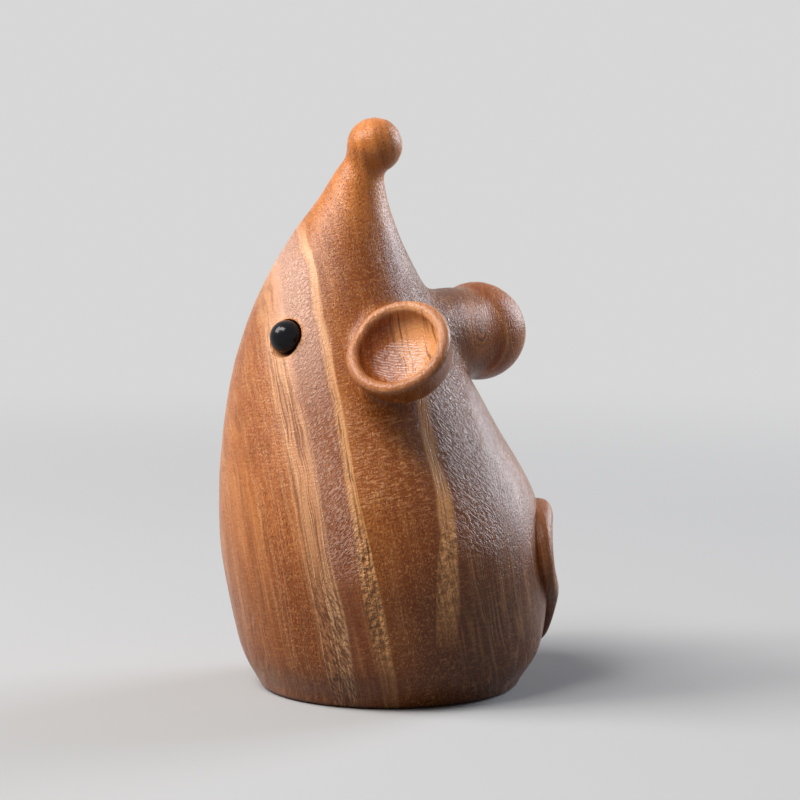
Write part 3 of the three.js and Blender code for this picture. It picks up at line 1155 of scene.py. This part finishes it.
    def lay_bullseye(self):
        """The little rings in the figure behind the far ear."""
        t = self.t
        offset = t.vectors("SUBTRACT", self.place, BULLSEYE).outputs[0]
        oval = t.vectors("MULTIPLY", offset, BULLSEYE_FLATTENING).outputs[0]
        away = t.plus(t.length(oval), t.times(t.noise(self.stretched(0.9, 0.9)), 0.5))
        rings = t.math("SINE", t.times(away, math.tau / BULLSEYE_PITCH))
        self.stain(t.band(away, 2.8, 0.8, 0.0, 0.7), "bull's-eye")
        self.stain(t.times(t.band(rings, -0.4, 0.9), t.band(away, 2.0, 0.9, 0.0, 0.9)), "bull's-eye ring")

    def wear_ears_and_paint_sheen(self):
        """Dishes with a pale side, worn rims with a painted sheen towards their tops, worn sockets, glue,
        and the ripples of the gouge with a painted sheen on them.
        """
        t = self.t
        self.stain(t.times(self.dish, t.band(self.layer, 4.6, 6.4), 0.7), "dish's pale side")
        self.stain(t.times(self.dish, self.line, 0.75), "dish's line")
        rim = t.times(t.attribute("rim"), t.band(self.thin, 0.3, 0.7, 0.3, 0.6), 0.9)
        # The rims' pale colour is partly wear and partly painted sheen; the sockets' is wear
        self.stain(t.greater(rim, t.times(t.attribute("socket"), 0.75)), "worn edge and sheen")
        self.stain(t.times(t.attribute("stain"), 0.85), "glue")

        rise = t.dot(self.place, ear_direction("left").cross(LEVEL_ACROSS).normalized())
        sway = t.times(t.noise(self.stretched(1.2, 1.2), 1.0, 3.0, 0.6), 11.0)
        ripple = t.band(t.math("SINE", t.plus(t.times(rise, math.tau / SHEEN_RIPPLE_PITCH), sway)), -0.4, 0.9)
        patchy = t.band(t.noise(self.stretched(2.6, 2.6), 1.0, 3.0, 0.7), 0.34, 0.52)
        ripples_and_sheen = t.times(t.attribute("ripples_and_sheen"), patchy)
        # Painted sheen: pale streaks along the ripples' crests on the dish floor
        self.stain(t.times(ripples_and_sheen, t.band(ripple, 0, 1, 0.15, 0.65)), "painted ripple sheen")
        self.relief = t.plus(self.relief, t.times(ripples_and_sheen, ripple, 1.6))

    def finish(self):
        """Sanded and oiled: glossier in the dishes."""
        t = self.t
        sheen = t.plus(t.times(self.soft, 0.6), t.times(self.speckle, 0.4))
        roughness = t.less(t.band(sheen, 0.25, 0.75, 0.22, 0.36), t.times(self.dish, 0.05))
        bump = t.node("ShaderNodeBump", {"Height": self.relief, "Strength": 0.75, "Distance": 0.00006})
        inputs = {
            "Base Color": self.colour,
            "Roughness": roughness,
            "Normal": bump.outputs[0],
            "IOR": 1.36,
        }
        t.surface("ShaderNodeBsdfPrincipled", inputs)


def bead_material():
    made = bpy.data.materials.new("black_bead")
    t = Tree(made)
    haze = t.noise(t.place(), 900.0, 3.0)
    inputs = {
        "Base Color": t.mix(haze, (0.002, 0.002, 0.003, 1), (0.006, 0.006, 0.009, 1)),
        "Roughness": t.band(haze, 0.3, 0.7, 0.14, 0.2),
        "IOR": 1.3,
    }
    t.surface("ShaderNodeBsdfPrincipled", inputs)
    return made


def glue_material():
    made = bpy.data.materials.new("cured_glue")
    t = Tree(made)
    haze = t.noise(t.place(), 1400.0, 3.0)
    inputs = {
        "Base Color": t.mix(haze, linear(150, 96, 40), linear(206, 150, 84)),
        "Roughness": 0.25,
    }
    t.surface("ShaderNodeBsdfPrincipled", inputs)
    return made


# Studio
def seen_rays(t):
    """1 for the rays that see a surface, straight or in a gloss or through glass."""
    rays = t.node("ShaderNodeLightPath")
    seen = t.greater(rays.outputs["Is Camera Ray"], rays.outputs["Is Glossy Ray"])
    return t.greater(seen, rays.outputs["Is Transmission Ray"])


def floor_material():
    """Pale paint that passes into the backdrop's own colour away from the mouse."""
    made = bpy.data.materials.new("pale_floor")
    t = Tree(made)
    seen = seen_rays(t)
    paint = t.mix(seen, FLOOR_PAINT_BOUNCED, FLOOR_PAINT)
    diffuse = t.node("ShaderNodeBsdfDiffuse", {"Color": paint}).outputs[0]
    glow = t.node("ShaderNodeEmission", {"Color": BACKDROP, "Strength": 1.0}).outputs[0]
    share = t.times(seen, t.band(t.length(t.place()), GLOW_START, GLOW_FULL))
    t.surface("ShaderNodeMixShader", {0: share, 1: diffuse, 2: glow})
    return made


def world():
    """Dim on the object, and the backdrop's colour where it is seen."""
    made = bpy.data.worlds.new("studio")
    bpy.context.scene.world = made
    t = Tree(made)
    dim = t.node("ShaderNodeBackground", {"Color": ROOM_LIGHT, "Strength": ROOM_STRENGTH}).outputs[0]
    shown = t.node("ShaderNodeBackground", {"Color": BACKDROP, "Strength": 1.0}).outputs[0]
    t.surface("ShaderNodeMixShader", {0: seen_rays(t), 1: dim, 2: shown}, "ShaderNodeOutputWorld")


def floor():
    shape = bmesh.new()
    bmesh.ops.create_circle(shape, cap_ends=True, segments=FLOOR_SIDES, radius=FLOOR_RADIUS)
    bmesh.ops.recalc_face_normals(shape, faces=shape.faces)
    made = object_from("floor", shape, 1.0)
    made.data.materials.append(floor_material())
    return made


def place_facing(made, back, place):
    """Puts a lamp or camera at a place, looking against the direction given."""
    turn = back.to_track_quat("Z", "Y").to_matrix().to_4x4()
    made.matrix_world = Matrix.Translation(place) @ turn
    bpy.context.scene.collection.objects.link(made)


def lamp(name, azimuth, elevation, distance, width, height, power, colour):
    """A soft box, in metres and watts, that looks at the mouse's middle."""
    data = bpy.data.lights.new(name, "AREA")
    data.shape = "RECTANGLE"
    data.size = width
    data.size_y = height
    data.energy = power
    data.color = colour
    back = raised_direction(azimuth, elevation)
    middle = Vector((0, 0, LAMPS_AIM * MM))
    place_facing(bpy.data.objects.new(name, data), back, middle + back * distance)


def camera():
    data = bpy.data.cameras.new("camera")
    data.lens = CAMERA_LENS
    data.sensor_width = CAMERA_SENSOR
    made = bpy.data.objects.new("camera", data)
    back = raised_direction(CAMERA_AZIMUTH, CAMERA_ELEVATION)
    aside = level_direction(CAMERA_AZIMUTH + 90)
    target = aside * CAMERA_TARGET_ASIDE + Vector((0, 0, CAMERA_TARGET_HEIGHT))
    place_facing(made, back, (target + back * CAMERA_DISTANCE) * MM)
    bpy.context.scene.camera = made


wood = carved_wood()
mark_wear_and_painted_light(wood)
wood.data.materials.append(Wood().material)
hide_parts("carved_body")
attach(wood, "root")

black = bead_material()
glue = glue_material()
for side in SIDES:
    eye = bead(side)
    eye.data.materials.append(black)
    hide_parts(f"eye_bead_{side}")
    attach(eye, "root")
    node = frame["nodes"][f"eye_glue_{side}"]
    node.data.materials.clear()
    node.data.materials.append(glue)

floor()
world()
lamp("key", 27, 41, 0.55, 0.28, 0.3, 3.3, (1.0, 0.98, 0.96))
lamp("upper", 62, 58, 0.55, 0.26, 0.18, 2.3, (1.0, 0.97, 0.95))
lamp("window", 236, 20, 0.6, 0.32, 0.34, 3.5, (0.86, 0.91, 1.0))
camera()
bpy.context.scene.view_settings.view_transform = "Standard"
